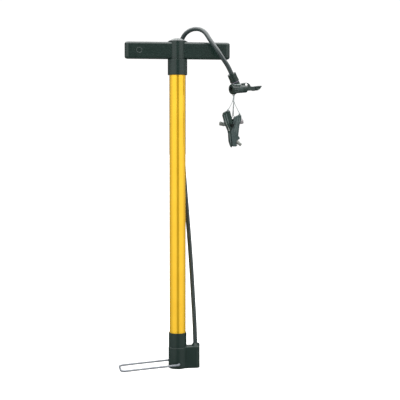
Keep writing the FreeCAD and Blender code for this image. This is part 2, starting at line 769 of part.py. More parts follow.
def hose_nipple():
    """Brass insert in the boss that the hose is fixed on."""
    flange = cylinder(VALVE_BORE_R - FIT, NIPPLE_BOTTOM, VALVE_BORE_TOP - FIT, BOSS_FOOT)
    stem = cylinder(NIPPLE_R, NIPPLE_BOTTOM, BOSS_TOP, BOSS_FOOT)
    return flange.fuse(stem).cut(cylinder(AIR_HOLE_R, 0, BOSS_TOP + PAST, BOSS_FOOT))


# --- stirrup ------------------------------------------------------------------------------------

def foot_stirrup():
    """Bent wire that is stood on while pumping. Its two ends turn in the base's cross hole."""
    slope = math.asin((STIRRUP_PIVOT_Z - WIRE_R - FIT) / STIRRUP_REACH)
    points = [
        Vector(0, -STIRRUP_END_Y, 0),
        Vector(0, -STIRRUP_HALF_WIDTH, 0),
        Vector(-STIRRUP_REACH, -STIRRUP_HALF_WIDTH, 0),
        Vector(-STIRRUP_REACH, STIRRUP_HALF_WIDTH, 0),
        Vector(0, STIRRUP_HALF_WIDTH, 0),
        Vector(0, STIRRUP_END_Y, 0),
    ]
    radii = [STIRRUP_EYE_BEND_R, STIRRUP_CORNER_R, STIRRUP_CORNER_R, STIRRUP_EYE_BEND_R]
    wire = swept(rounded_path(points, radii), WIRE_R)
    wire.Placement = Placement(Vector(0, 0, STIRRUP_PIVOT_Z), Rotation(Y, -math.degrees(slope)))
    return wire


# --- pump head ----------------------------------------------------------------------------------

LEVER_PIN = Vector(LEVER_PIN_X, 0, LEVER_PIN_Z)


def head_body():
    """Barrel-shaped head with a leaning hose inlet and a slot at the tail for the lever."""
    body = cylinder(HEAD_R, NECK_END, HEAD_END, axis=X)
    body = body.makeFillet(HEAD_EDGE_R, edges_where(body, lambda p: p.x == HEAD_END))
    body = body.fuse(cylinder(INLET_R, 0, INLET_END, INLET_ROOT, INLET_AXIS))
    cap_room_r = MOUTH_CAP_R + FINGER_RIB_R + CAP_CLEARANCE
    body = body.cut(cylinder(cap_room_r, 0, NECK_END, axis=X))
    body = body.fuse(cylinder(NECK_R, NECK_START, NECK_END + OVERLAP, axis=X))
    rail_half = (EAR_OUTSIDE - EAR_INSIDE) / 2
    for side in (Y, -Y):
        body = body.fuse(plate(RAIL_OUTLINE, rail_half, side * (EAR_INSIDE + rail_half)))
        body = body.fuse(cylinder(LEVER_HUB_R, EAR_INSIDE, EAR_OUTSIDE, LEVER_PIN, side))
        body = body.cut(cylinder(SPOT_FACE_R, EAR_OUTSIDE, HEAD_R + PAST, LEVER_PIN, side))
    body = body.cut(cylinder(GROMMET_R + FIT, 0, CHAMBER_START, axis=X))
    body = body.cut(cylinder(CHAMBER_R, CHAMBER_START - PAST, CHAMBER_END, axis=X))
    body = body.cut(cylinder(PLUNGER_R + RUNNING_FIT, CHAMBER_END - PAST, HEAD_END + PAST, axis=X))
    hole_r = INLET_NIPPLE_R + FIT
    nipple_hole = cylinder(hole_r, INLET_NIPPLE_START, INLET_END + PAST, INLET_ROOT, INLET_AXIS)
    body = body.cut(nipple_hole)
    elbow = INLET_ROOT + INLET_AXIS * (INLET_NIPPLE_START + PAST)
    chamber_side = Vector(AIR_CROSS_X, 0, CHAMBER_R / 2)
    heading = (elbow - chamber_side).normalize()
    passage = cylinder(INLET_NIPPLE_BORE_R, 0, (elbow - chamber_side).Length, chamber_side, heading)
    body = body.cut(passage)
    slot_low = (LEVER_PIN_X - LEVER_HUB_R - 0.5, -EAR_INSIDE, LEVER_PIN_Z - LEVER_HUB_R - 0.3)
    slot_high = (HEAD_END + PAST, EAR_INSIDE, LEVER_PIN_Z + HEAD_R)
    body = body.cut(box(slot_low, slot_high))
    return in_head(body.cut(cylinder(LEVER_PIN_R + FIT, -HEAD_R, HEAD_R, LEVER_PIN, Y)))


def mouth_cap():
    """Screw cap over the mouth, with finger ribs and the lug for the adapters' strings."""
    cap_end = NECK_END - FIT
    cap = cylinder(MOUTH_CAP_R, 0, cap_end, axis=X)
    cap = cap.makeFillet(MOUTH_CAP_EDGE_R, edges_where(cap, lambda p: p.x < 0.1))
    for place in ring_of_points(FINGER_RIBS, MOUTH_CAP_R, half_step=True):
        rib_at = Vector(0, place.x, place.y)
        cap = cap.fuse(cylinder(FINGER_RIB_R, FINGER_RIB_START, cap_end, rib_at, X))
    cap = cap.cut(cylinder(NECK_R + FIT, NECK_START - FIT, NECK_END + PAST, axis=X))
    cap = cap.cut(cylinder(GROMMET_R + FIT, GROMMET_START - FIT, NECK_END, axis=X))
    cap = in_head(cap.cut(cylinder(GROMMET_BORE_R + 0.6, -PAST, NECK_END, axis=X)))
    disc = cylinder(LUG_R, -LUG_HALF_WIDTH, LUG_HALF_WIDTH, LUG_CENTRE, Y)
    web = box((-LUG_R, -LUG_HALF_WIDTH, 0), (LUG_R, LUG_HALF_WIDTH, LUG_RISE))
    web.translate(LUG_CENTRE)
    lug = disc.fuse(web).cut(in_head(cylinder(NECK_R + 0.6, 0, NECK_END, axis=X)))
    hole = cylinder(LUG_HOLE_R, -LUG_HALF_WIDTH - PAST, LUG_HALF_WIDTH + PAST, LUG_CENTRE, Y)
    return cap.fuse(lug).cut(hole)


def mouth_grommet():
    """Rubber grommet that grips the tyre valve."""
    grommet = tube(GROMMET_R, GROMMET_BORE_R, GROMMET_START, GROMMET_END, axis=X)
    return in_head(grommet)


def plunger():
    """Plunger that squeezes the grommet: a holed disc on a rod that the lever's nose pushes."""
    disc_start = GROMMET_END + PLUNGER_DISC_GAP
    disc = cylinder(GROMMET_R - PLUNGER_DISC_GAP, disc_start, disc_start + PLUNGER_DISC_H, axis=X)
    rod = cylinder(PLUNGER_R, disc_start, PLUNGER_TAIL, axis=X)
    rod = rod.makeFillet(0.6, edges_where(rod, lambda p: p.x == PLUNGER_TAIL))
    air_hole = cylinder(PLUNGER_AIR_R, disc_start - PAST, AIR_CROSS_X + PAST, axis=X)
    cross_hole = cylinder(PLUNGER_CROSS_R, -CHAMBER_R, CHAMBER_R, Vector(AIR_CROSS_X, 0, 0), Z)
    return in_head(disc.fuse(rod).cut(air_hole).cut(cross_hole))


def plunger_seal():
    """O-ring around the plunger's rod."""
    middle_r = (CHAMBER_R + PLUNGER_R) / 2
    section_r = (CHAMBER_R - PLUNGER_R) / 2 - O_RING_GAP
    return in_head(Part.makeTorus(middle_r, section_r, Vector(CHAMBER_END - O_RING_OFFSET, 0, 0), X))


def lever_pin():
    """Headed rivet that the lever turns on."""
    end = EAR_OUTSIDE + RIVET_RIM_H
    pin = cylinder(LEVER_PIN_R, -end + OVERLAP, end - OVERLAP, LEVER_PIN, Y)
    for side in (Y, -Y):
        rim = cylinder(RIVET_RIM_R, EAR_OUTSIDE + FIT, end, LEVER_PIN, side)
        pin = pin.fuse(rim.makeChamfer(RIVET_EDGE, edges_where(rim, lambda p: abs(p.y) > end - FIT)))
    return in_head(pin)


def thumb_lever():
    """Thumb lever: hub, a nose that drops behind the plunger, an arm and a dished thumb pad."""
    arm = plate(LEVER_OUTLINE, LEVER_HALF_WIDTH, Vector(0, 0, 0))
    rims = edges_where(arm, lambda p: p.x > LEVER_ARM_START and abs(p.y) > LEVER_HALF_WIDTH / 2)
    arm = arm.makeFillet(LEVER_EDGE_R, rims)
    hub = cylinder(LEVER_HUB_R, -LEVER_HALF_WIDTH, LEVER_HALF_WIDTH, LEVER_PIN, Y)
    pad = plate(PAD_OUTLINE, PAD_HALF_WIDTH, Vector(0, 0, 0))
    pad = pad.makeChamfer(PAD_EDGE, edges_where(pad, lambda p: abs(p.y) > PAD_HALF_WIDTH - FIT))
    lever = arm.fuse([hub, pad]).cut(Part.makeSphere(DISH_R, Vector(*DISH_CENTRE)))
    return in_head(lever.cut(cylinder(LEVER_PIN_R + RUNNING_FIT, -HEAD_R, HEAD_R, LEVER_PIN, Y)))


def head_nipple():
    """Brass tube in the head's inlet, which the hose is pushed on inside the ferrule."""
    return in_head(tube(INLET_NIPPLE_R, INLET_NIPPLE_BORE_R, INLET_NIPPLE_START + FIT, INLET_NIPPLE_END,
                        INLET_ROOT, INLET_AXIS))


def inlet_washer():
    """Rubber washer between the head's inlet and the ferrule."""
    return in_head(tube(INLET_WASHER_R, INLET_NIPPLE_R + FIT, INLET_END + FIT, INLET_WASHER_END,
                        INLET_ROOT, INLET_AXIS))


def ferrule_side(distance, around):
    """A point just outside the ferrule's tapered side, by its distance along the inlet's axis."""
    share = (distance - FERRULE_START) / (FERRULE_END - FERRULE_START)
    radius = FERRULE_START_R + (FERRULE_END_R - FERRULE_START_R) * share + FERRULE_GROOVE_DEPTH
    out = Y * around.x + INLET_AXIS.cross(Y) * around.y
    return INLET_ROOT + INLET_AXIS * distance + out * radius


def hose_ferrule():
    """Ribbed tapered sleeve over the hose's end, with a wider collar where it meets the head."""
    collar_end = FERRULE_START + FERRULE_COLLAR_H
    sleeve = cone(FERRULE_START_R, FERRULE_END_R, FERRULE_START, FERRULE_END, INLET_ROOT, INLET_AXIS)
    sleeve = sleeve.fuse(cylinder(FERRULE_COLLAR_R, FERRULE_START, collar_end, INLET_ROOT, INLET_AXIS))
    for around in ring_of_points(FERRULE_GROOVES, 1):
        first = ferrule_side(collar_end + FERRULE_GROOVE_INSET, around)
        last = ferrule_side(FERRULE_END - FERRULE_GROOVE_INSET, around)
        run = last - first
        sleeve = sleeve.cut(cylinder(FERRULE_GROOVE_R, 0, run.Length, first, run.normalize()))
    sleeve = sleeve.cut(cylinder(INLET_NIPPLE_R + FIT, 0, INLET_NIPPLE_END + FIT, INLET_ROOT, INLET_AXIS))
    return in_head(sleeve.cut(cylinder(AIR_HOLE_R, 0, FERRULE_END + PAST, INLET_ROOT, INLET_AXIS)))


# --- hanging adapters ---------------------------------------------------------------------------

def clip_arm(outline):
    """One arm of the clip, with its two outlines chamfered."""
    arm = plate(outline, CLIP_HALF_DEPTH, CLIP_PIN)
    faces_y = (CLIP_PIN.y - CLIP_HALF_DEPTH, CLIP_PIN.y + CLIP_HALF_DEPTH)
    rims = edges_where(arm, lambda p: min(abs(p.y - y) for y in faces_y) < 0.01)
    return arm.makeChamfer(CLIP_EDGE, rims)


def clip_arm_left():
    """Left arm: thumb paddle, outer knuckles, a web behind the spring and the jaw with the valve's hole."""
    arm = clip_arm(LEFT_ARM)
    inner = KNUCKLE_HALF + KNUCKLE_GAP
    arm = arm.cut(cylinder(KNUCKLE_R + KNUCKLE_GAP, -inner, inner, CLIP_PIN, Y))
    for side in (Y, -Y):
        arm = arm.fuse(cylinder(KNUCKLE_R, inner, CLIP_HALF_DEPTH, CLIP_PIN, side))
    arm = arm.fuse(clip_box(WEB_LOW, WEB_HIGH))
    arm = arm.cut(cylinder(VALVE_HOLE_R, -CLIP_HALF_DEPTH - PAST, PAST, SEAL_CENTRE, X))
    arm = arm.cut(through(STRING_HOLE_R, LEFT_STRING_HOLE))
    return arm.cut(through(CLIP_PIN_R + FIT / 2))


def clip_arm_right():
    """Right arm: thumb paddle, middle knuckle and the jaw that holds the outlet and the seal."""
    arm = clip_arm(RIGHT_ARM)
    room_r = KNUCKLE_R + KNUCKLE_GAP
    for side in (Y, -Y):
        arm = arm.cut(cylinder(room_r, KNUCKLE_HALF, CLIP_HALF_DEPTH + PAST, CLIP_PIN, side))
    arm = arm.fuse(cylinder(KNUCKLE_R, -KNUCKLE_HALF, KNUCKLE_HALF, CLIP_PIN, Y))
    arm = arm.cut(clip_box(WEB_ROOM_LOW, WEB_ROOM_HIGH))
    arm = arm.cut(through(STRING_HOLE_R, RIGHT_STRING_HOLE))
    arm = arm.cut(cylinder(SEAL_R + FIT, -CLIP_HALF_DEPTH, SEAL_END, SEAL_CENTRE, X))
    arm = arm.cut(cylinder(STUB_BORE_R, SEAL_END - PAST, STUB_ROOT.x - SEAL_CENTRE.x, SEAL_CENTRE, X))
    arm = arm.cut(cylinder(STUB_R + FIT, STUB_IN, 2 * STUB_END, STUB_ROOT, STUB_AXIS))
    arm = arm.cut(cylinder(STUB_BORE_R, 0, STUB_IN + PAST, STUB_ROOT, STUB_AXIS))
    return arm.cut(through(CLIP_PIN_R + RUNNING_FIT))


def clip_box(low, high):
    """A box between two corners measured from the clip's pin."""
    solid = box(low, high)
    solid.translate(CLIP_PIN)
    return solid


def through(radius, offset=Vector(0, 0, 0)):
    """A hole right through the clip along Y, at an offset from its pin."""
    reach = CLIP_HALF_DEPTH + PAST
    return cylinder(radius, -reach, reach, CLIP_PIN + offset, Y)


def clip_pin():
    """Headed pin through the knuckles and the spring's coil."""
    front = CLIP_HALF_DEPTH + COIL_ROOM
    back = CLIP_HALF_DEPTH
    pin = cylinder(CLIP_PIN_R, -front, back + OVERLAP, CLIP_PIN, Y)
    pin = pin.fuse(cylinder(PIN_HEAD_R, back + FIT, back + PIN_HEAD_H, CLIP_PIN, Y))
    return pin.fuse(cylinder(PIN_HEAD_R, front - OVERLAP, front - OVERLAP + PIN_HEAD_H, CLIP_PIN, -Y))


def clip_seal():
    """Rubber ring in the right jaw that the tyre valve is pressed on."""
    return tube(SEAL_R, STUB_BORE_R, SEAL_START, SEAL_END - FIT, SEAL_CENTRE, X)


def clip_outlet():
    """Plated stub that the pump head is pushed on."""
    stub = cylinder(STUB_R, STUB_IN + FIT, STUB_STEP, STUB_ROOT, STUB_AXIS)
    stub = stub.fuse(cylinder(STUB_TIP_R, STUB_STEP - OVERLAP, STUB_END, STUB_ROOT, STUB_AXIS))
    for groove in range(STUB_GROOVES):
        start = STUB_GROOVE_START + STUB_GROOVE_PITCH * groove
        stub = stub.cut(ring_cut(STUB_GROOVE_R, start, STUB_GROOVE, STUB_ROOT, STUB_AXIS))
    return stub.cut(cylinder(STUB_BORE_R, STUB_IN, STUB_END + PAST, STUB_ROOT, STUB_AXIS))


def clip_spring():
    """Torsion spring on the pin, in front of the knuckles, with one leg on each arm."""
    front = CLIP_HALF_DEPTH + COIL_GAP
    spring = tube(COIL_OUTER_R, COIL_INNER_R, front, front + COIL_H, CLIP_PIN, -Y)
    for turn in range(COIL_GROOVES):
        start = front + COIL_PITCH * (turn + 1)
        spring = spring.cut(ring_cut(COIL_OUTER_R - COIL_GROOVE_DEPTH, start, COIL_GROOVE, CLIP_PIN, -Y))
    for side, level in SPRING_LEG_LEVELS:
        at = CLIP_PIN + Vector(side * (COIL_INNER_R + COIL_OUTER_R) / 2, -front - level, 0)
        heading = Vector(side * SPRING_LEG_SLOPE, 0, 1).normalize()
        spring = spring.fuse(cylinder(SPRING_LEG_R, 0, SPRING_LEG_LENGTH, at, heading))
    return spring


def ball_needle():
    """Ball needle: a grooved threaded head and a fine tube."""
    head = cylinder(NEEDLE_HEAD_R, 0, NEEDLE_HEAD_LENGTH, NEEDLE_END, NEEDLE_AXIS)
    head = head.makeChamfer(0.6, [edge for edge in head.Edges if len(edge.Vertexes) == 1])
    for groove in range(NEEDLE_GROOVES):
        start = NEEDLE_GROOVE_START + NEEDLE_GROOVE_PITCH * groove
        head = head.cut(ring_cut(NEEDLE_GROOVE_R, start, NEEDLE_GROOVE, NEEDLE_END, NEEDLE_AXIS))
    neck = cylinder(NEEDLE_NECK_R, NEEDLE_HEAD_LENGTH - OVERLAP, NEEDLE_NECK_END, NEEDLE_END, NEEDLE_AXIS)
    shaft = cylinder(NEEDLE_R, NEEDLE_NECK_END - OVERLAP, NEEDLE_LENGTH, NEEDLE_END, NEEDLE_AXIS)
    tip = Part.makeSphere(NEEDLE_R, NEEDLE_END + NEEDLE_AXIS * NEEDLE_LENGTH)
    return head.fuse([neck, shaft, tip])


def cone_nozzle():
    """Tapered nozzle for inflatables: a flanged end and a stepped cone."""
    nozzle = cylinder(NOZZLE_FLANGE_R, 0, NOZZLE_FLANGE_H, NOZZLE_END, NOZZLE_AXIS)
    rims = edges_where(nozzle, lambda p: p.x > NOZZLE_END.x - NOZZLE_FLANGE_H / 2)
    nozzle = nozzle.makeFillet(NOZZLE_FLANGE_EDGE_R, [edge for edge in rims if len(edge.Vertexes) == 1])
    waist = cylinder(NOZZLE_WAIST_R, NOZZLE_FLANGE_H - OVERLAP, NOZZLE_CONE_START + OVERLAP,
                     NOZZLE_END, NOZZLE_AXIS)
    taper = cone(NOZZLE_CONE_R, NOZZLE_TIP_R, NOZZLE_CONE_START, NOZZLE_LENGTH, NOZZLE_END, NOZZLE_AXIS)
    bore = cylinder(NOZZLE_BORE_R, -PAST, NOZZLE_LENGTH + PAST, NOZZLE_END, NOZZLE_AXIS)
    return nozzle.fuse([waist, taper]).cut(bore)


def main():
    """Builds and writes every node."""
    os.makedirs("parts", exist_ok=True)
    builders = [
        barrel_tube, barrel_cap, rod_guide_bush, rod_wiper, cup_seal, piston_rod, piston_washer,
        piston_nut, piston_head, piston_jam_nut, buffer_ring, handle_bar, rod_washer, rod_nut,
        hub_dome, base_body, barrel_seal, valve_seat, outlet_ball, outlet_spring, hose_nipple,
        valve_plug, foot_stirrup, head_body, mouth_cap, mouth_grommet, plunger, plunger_seal,
        lever_pin, thumb_lever, head_nipple, inlet_washer, hose_ferrule, clip_arm_left, clip_arm_right,
        clip_pin, clip_seal, clip_outlet, clip_spring, ball_needle, cone_nozzle,
    ]
    for build in builders:
        save(build.__name__, build())
    cords = [
        ("hose", HOSE_ROUTE, HOSE_R),
        ("clip_string", CLIP_STRING_ROUTE, STRING_R),
        ("needle_string", NEEDLE_STRING_ROUTE, STRING_R),
    ]
    for name, route, radius in cords:
        save(name, cord(name, route, radius))


main()
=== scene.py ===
import json
import math

import bmesh
import bpy
from mathutils import Matrix, Quaternion, Vector


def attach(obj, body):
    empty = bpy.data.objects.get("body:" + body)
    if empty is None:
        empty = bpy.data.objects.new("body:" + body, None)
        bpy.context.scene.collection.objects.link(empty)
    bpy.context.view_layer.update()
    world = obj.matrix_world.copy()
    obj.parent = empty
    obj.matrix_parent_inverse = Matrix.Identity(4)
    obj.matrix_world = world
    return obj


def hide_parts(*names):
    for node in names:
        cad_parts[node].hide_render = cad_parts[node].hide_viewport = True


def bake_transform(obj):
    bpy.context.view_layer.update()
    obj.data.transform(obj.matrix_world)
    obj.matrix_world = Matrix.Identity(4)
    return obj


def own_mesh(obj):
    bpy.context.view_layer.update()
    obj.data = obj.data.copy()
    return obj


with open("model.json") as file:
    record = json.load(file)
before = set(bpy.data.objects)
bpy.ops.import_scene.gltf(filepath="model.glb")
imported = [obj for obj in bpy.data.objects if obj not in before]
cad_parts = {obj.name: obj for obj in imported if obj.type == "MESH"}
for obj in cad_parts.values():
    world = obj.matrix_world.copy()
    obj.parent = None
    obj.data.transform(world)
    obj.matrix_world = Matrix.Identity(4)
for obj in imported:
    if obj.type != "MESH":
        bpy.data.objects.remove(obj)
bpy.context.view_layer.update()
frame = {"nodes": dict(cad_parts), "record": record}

MM = 0.001

# --- camera: nearly level, a little to the left of the pump's front ------------------------------

CAMERA_AT = Vector((-0.27027, -1.9354, 0.450))
CAMERA_AIM = Vector((0.04122, -0.00347, 0.34066))
CAMERA_ROLL = math.radians(0.0353)
LENS = 95.85
SENSOR = 36.0
SHIFT_Y = -0.04


def make_camera():
    """The scene's camera, turned to its aim and rolled a little."""
    data = bpy.data.cameras.new("camera")
    data.lens = LENS
    data.sensor_width = SENSOR
    data.shift_y = SHIFT_Y
    camera = bpy.data.objects.new("camera", data)
    camera.location = CAMERA_AT
    level = (CAMERA_AIM - CAMERA_AT).to_track_quat("-Z", "Y")
    camera.rotation_euler = (level @ Quaternion((0, 0, 1), CAMERA_ROLL)).to_euler()
    bpy.context.scene.collection.objects.link(camera)
    bpy.context.scene.camera = camera


make_camera()

# --- geometry helpers ---------------------------------------------------------------------------

CURVE_STEPS = 16
TUBE_SIDES = 8
FINE_TUBE_SIDES = 10
# a last step shorter than this share of the others is left out
SHORTEST_STEP = 0.3


def link(name, data):
    """A new object in the scene."""
    obj = bpy.data.objects.new(name, data)
    bpy.context.scene.collection.objects.link(obj)
    return obj


def metres(route):
    """A route in millimetres as points in metres."""
    return [Vector(point) * MM for point in route]


def route_curve(name, route, radius):
    """A smooth NURBS spline with the route's points as its control points."""
    curve = bpy.data.curves.new(name, "CURVE")
    curve.dimensions = "3D"
    spline = curve.splines.new("NURBS")
    spline.points.add(len(route) - 1)
    for point, place in zip(spline.points, metres(route)):
        point.co = (*place, 1.0)
        point.radius = radius
    spline.order_u = 3
    spline.use_endpoint_u = True
    spline.resolution_u = CURVE_STEPS
    return curve


def spline_points(route):
    """Points read along the route's spline."""
    probe = link("probe", route_curve("probe", route, 0.0))
    bpy.context.view_layer.update()
    mesh = bpy.data.meshes.new_from_object(probe)
    points = [vertex.co.copy() for vertex in mesh.vertices]
    bpy.data.objects.remove(probe)
    bpy.data.meshes.remove(mesh)
    return points


def frames_along(points):
    """A tangent and two sideways directions at each point, turning as little as possible."""
    tangents = []
    for n in range(len(points)):
        ahead = points[min(n + 1, len(points) - 1)]
        behind = points[max(n - 1, 0)]
        tangents.append((ahead - behind).normalized())
    side = tangents[0].orthogonal().normalized()
    frames = []
    for tangent in tangents:
        side = (side - tangent * side.dot(tangent)).normalized()
        frames.append((tangent, side, tangent.cross(side)))
    return frames


def loft_into(shape, rows):
    """Adds faces between rows of vertices, each row a closed outline, and closes both ends."""
    count = len(rows[0])
    for near, far in zip(rows, rows[1:]):
        for n in range(count):
            m = (n + 1) % count
            shape.faces.new((near[n], near[m], far[m], far[n]))
    shape.faces.new(list(reversed(rows[0])))
    shape.faces.new(rows[-1])


def tube_into(shape, points, radius, sides):
    """Adds a closed-ended round tube along points to a bmesh."""
    rings = []
    for point, (_, side, up) in zip(points, frames_along(points)):
        ring = []
        for n in range(sides):
            angle = 2 * math.pi * n / sides
            ring.append(shape.verts.new(point + (side * math.cos(angle) + up * math.sin(angle)) * radius))
        rings.append(ring)
    loft_into(shape, rings)


def mesh_object(name, shape, smooth=True):
    """An object made from a bmesh, which is used up."""
    bmesh.ops.recalc_face_normals(shape, faces=shape.faces)
    mesh = bpy.data.meshes.new(name)
    shape.to_mesh(mesh)
    shape.free()
    for polygon in mesh.polygons:
        polygon.use_smooth = smooth
    return link(name, mesh)


def twisted(name, points, radius, pitch):
    """A laid string: plies that wind round each other along the points."""
    shape = bmesh.new()
    offset = radius * PLY_OFFSET
    for ply in range(PLIES):
        run = 0.0
        strand = []
        previous = points[0]
        for point, (_, side, up) in zip(points, frames_along(points)):
            run += (point - previous).length
            previous = point
            angle = 2 * math.pi * (run / pitch + ply / PLIES)
            strand.append(point + (side * math.cos(angle) + up * math.sin(angle)) * offset)
        tube_into(shape, strand, radius * PLY_R, TUBE_SIDES)
    return mesh_object(name, shape)


def even(points, step):
    """The same line with its points a given step apart."""
    spaced = [points[0]]
    left = step
    for a, b in zip(points, points[1:]):
        length = (b - a).length
        at = left
        while at <= length:
            spaced.append(a.lerp(b, at / length))
            at += step
        left = at - length
    if (spaced[-1] - points[-1]).length > step * SHORTEST_STEP:
        spaced.append(points[-1])
    return spaced


# --- routes of the cords, in millimetres, as in part.py -----------------------------------------

HOSE_ROUTE = [
    (33.0, 0.0, 45.6), (31.9, 0.5, 82.0), (29.8, 3.4, 124.0), (26.5, 9.6, 195.0), (21.8, 15.6, 268.0),
    (15.6, 21.0, 350.0), (11.2, 24.3, 430.0), (9.8, 25.6, 500.0), (10.1, 26.2, 560.0),
    (9.5, 27.3, 590.9), (11.0, 26.0, 605.6), (17.4, 20.7, 617.8), (27.9, 12.9, 624.9),
    (40.4, 3.3, 625.2), (49.9, -8.2, 618.3), (57.4, -17.8, 602.6), (69.9, -25.2, 584.5),
    (80.3, -28.4, 567.4), (89.5, -28.03, 554.2), (95.45, -25.66, 541.84),
]
CLIP_STRING_ROUTE = [
    (89.9, -24.3, 477.0), (93.9, -24.7, 483.8), (97.2, -25.2, 490.6), (98.9, -25.5, 497.6),
    (99.4, -25.4, 503.9), (99.4, -22.2, 503.9), (99.4, -22.3, 497.4), (101.1, -22.5, 490.2),
    (105.6, -23.4, 480.4), (110.9, -24.0, 469.8),
]
NEEDLE_STRING_ROUTE = [
    (87.3, -13.2, 453.1), (91.5, -13.4, 456.0), (97.5, -14.2, 459.5), (99.6, -15.6, 466.0),
    (99.8, -17.4, 474.0), (99.7, -20.6, 483.0), (99.9, -23.9, 490.6), (100.65, -25.5, 497.6),
    (100.6, -25.5, 503.9), (100.6, -22.2, 503.9), (100.9, -21.9, 497.4), (101.0, -19.9, 489.6),
    (101.2, -17.6, 482.0), (101.1, -16.0, 474.0), (101.3, -14.8, 466.5), (104.5, -12.0, 462.6),
    (109.4, -8.4, 460.6), (113.8, -6.6, 458.7),
]
HOSE_D = 8.0 * MM
STRING_R = 0.55 * MM
STRING_PITCH = 3.6 * MM
STRING_STEP = 0.35 * MM
# a ply's distance from the string's middle and its own radius, as shares of the string's radius
PLY_OFFSET, PLY_R = 0.46, 0.78
PLIES = 3
HOSE_BEVEL_STEPS = 8


# --- hose and strings ---------------------------------------------------------------------------

hose_curve = route_curve("air_hose", HOSE_ROUTE, HOSE_D / 2)
hose_curve.bevel_depth = 1.0  # times each point's radius
hose_curve.bevel_resolution = HOSE_BEVEL_STEPS
hose_curve.use_fill_caps = True
hose = link("air_hose", hose_curve)
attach(hose, "pump_body")
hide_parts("hose")

# strings: the first bends between the clip's two arms, the second ties the needle and the nozzle
clip_line = even(spline_points(CLIP_STRING_ROUTE), STRING_STEP)
clip_cord = twisted("clip_tie_string", clip_line, STRING_R, STRING_PITCH)
needle_line = even(spline_points(NEEDLE_STRING_ROUTE), STRING_STEP)
needle_cord = twisted("needle_tie_string", needle_line, STRING_R, STRING_PITCH)


# a knot's depth is relative to its size; the turns are those of the string round a neck
KNOT_STEPS = 72
KNOT_DEPTH = 1.3
KNOT_STRING_R = 0.95 * STRING_R
TURN_STEPS = 28
TURNS = 2
TURN_SPACING = 2.1 * STRING_R
LOOP_STEP = 0.5 * MM
ARM_HALF_DEPTH = 5.0
# how a loop goes over an arm's edge, in mm: its rise over the edge, its bulge off a face between the
# edge and the hole, and its gap off a face at the hole; the shoulder is a share of the half depth
LOOP_RISE = 0.5
LOOP_BULGE = 0.9
LOOP_GAP = 0.2
LOOP_SHOULDER = 0.8


def short_string(name, points, radius):
    """A plain round string along points."""
    shape = bmesh.new()
    tube_into(shape, points, radius, TUBE_SIDES)
    return mesh_object(name, shape)


def knot(name, at, size, turn):
    """An overhand knot: a three-lobed closed line of string."""
    points = []
    for n in range(KNOT_STEPS + 1):
        t = 2 * math.pi * n / KNOT_STEPS
        x = math.sin(t) + 2 * math.sin(2 * t)
        y = math.cos(t) - 2 * math.cos(2 * t)
        z = -KNOT_DEPTH * math.sin(3 * t)
        points.append(Vector((x, y, z)) * size)
    spin = Matrix.Rotation(turn, 4, "Y") @ Matrix.Rotation(0.5 * turn, 4, "X")
    points = [spin @ point + Vector(at) * MM for point in points]
    return short_string(name, points, KNOT_STRING_R)


def ring_tie(name, at, axis, radius):
    """String wound round a neck."""
    axis = Vector(axis).normalized()
    side = axis.orthogonal().normalized()
    up = axis.cross(side)
    steps = TURN_STEPS * TURNS
    points = []
    for n in range(steps + 1):
        angle = 2 * math.pi * n / TURN_STEPS
        along = (n / steps - 0.5) * TURNS * TURN_SPACING
        around = (side * math.cos(angle) + up * math.sin(angle)) * radius
        points.append(Vector(at) * MM + axis * along + around)
    return short_string(name, points, STRING_R)


def hole_tie(name, hole, top):
    """String passed through an arm's hole and over its edge on both faces."""
    x, y, z = hole
    tx, ty, tz = top
    shoulder = ARM_HALF_DEPTH * LOOP_SHOULDER
    bulge = ARM_HALF_DEPTH + LOOP_BULGE
    gap = ARM_HALF_DEPTH + LOOP_GAP
    loop = [
        (tx, ty, tz), (tx, y - shoulder, tz + LOOP_RISE), (x, y - bulge, (z + tz) / 2), (x, y - gap, z),
        (x, y, z), (x, y + gap, z), (x, y + bulge, (z + tz) / 2), (tx, y + shoulder, tz + LOOP_RISE),
        (tx, ty, tz),
    ]
    return short_string(name, even(spline_points(loop), LOOP_STEP), STRING_R)


def tilted(degrees):
    """An axis in the XZ plane, turned up from +X."""
    return (math.cos(math.radians(degrees)), 0, math.sin(math.radians(degrees)))


NEEDLE_AXIS = tilted(-11)
NOZZLE_AXIS = tilted(192)
NEEDLE_NECK_R = 2.95 * MM
NOZZLE_NECK_R = 3.55 * MM
BIG_KNOT = 0.46 * MM
SMALL_KNOT = 0.38 * MM
string_pieces = [
    (knot("string_knot_upper", (100.0, -24.0, 491.8), BIG_KNOT, 0.4), "adapters"),
    (knot("string_knot_left", (89.8, -24.3, 477.4), SMALL_KNOT, 1.1), "adapters"),
    (knot("string_knot_right", (110.9, -24.0, 470.2), SMALL_KNOT, 2.0), "clip_jaw"),
    (hole_tie("string_loop_left", (89.0, -24.0, 473.1), (89.8, -24.3, 477.0)), "adapters"),
    (hole_tie("string_loop_right", (110.8, -24.0, 465.7), (110.9, -24.0, 469.8)), "clip_jaw"),
    (ring_tie("string_tie_needle", (87.2, -13.2, 449.87), NEEDLE_AXIS, NEEDLE_NECK_R), "adapters"),
    (ring_tie("string_tie_nozzle", (113.9, -6.6, 455.13), NOZZLE_AXIS, NOZZLE_NECK_R), "adapters"),
]
for piece, body in string_pieces:
    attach(piece, body)

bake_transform(clip_cord)
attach(needle_cord, "adapters")
for cord_piece, node in ((clip_cord, "clip_string"), (needle_cord, "needle_string")):
    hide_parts(node)


# --- materials ----------------------------------------------------------------------------------

# the noise's usual low and high, and the sockets of a colour mix
NOISE_LOW, NOISE_HIGH = 0.3, 0.7
MIX_FACTOR, MIX_A, MIX_B, MIX_RESULT = 0, 6, 7, 2
TONE_DETAIL, WEAR_DETAIL, GRAIN_DETAIL = 5.0, 3.0, 2.0


def new_material(name):
    """A material with its nodes, its links and its shader."""
    material = bpy.data.materials.new(name)
    material.use_nodes = True
    nodes = material.node_tree.nodes
    return material, nodes, material.node_tree.links, nodes["Principled BSDF"]


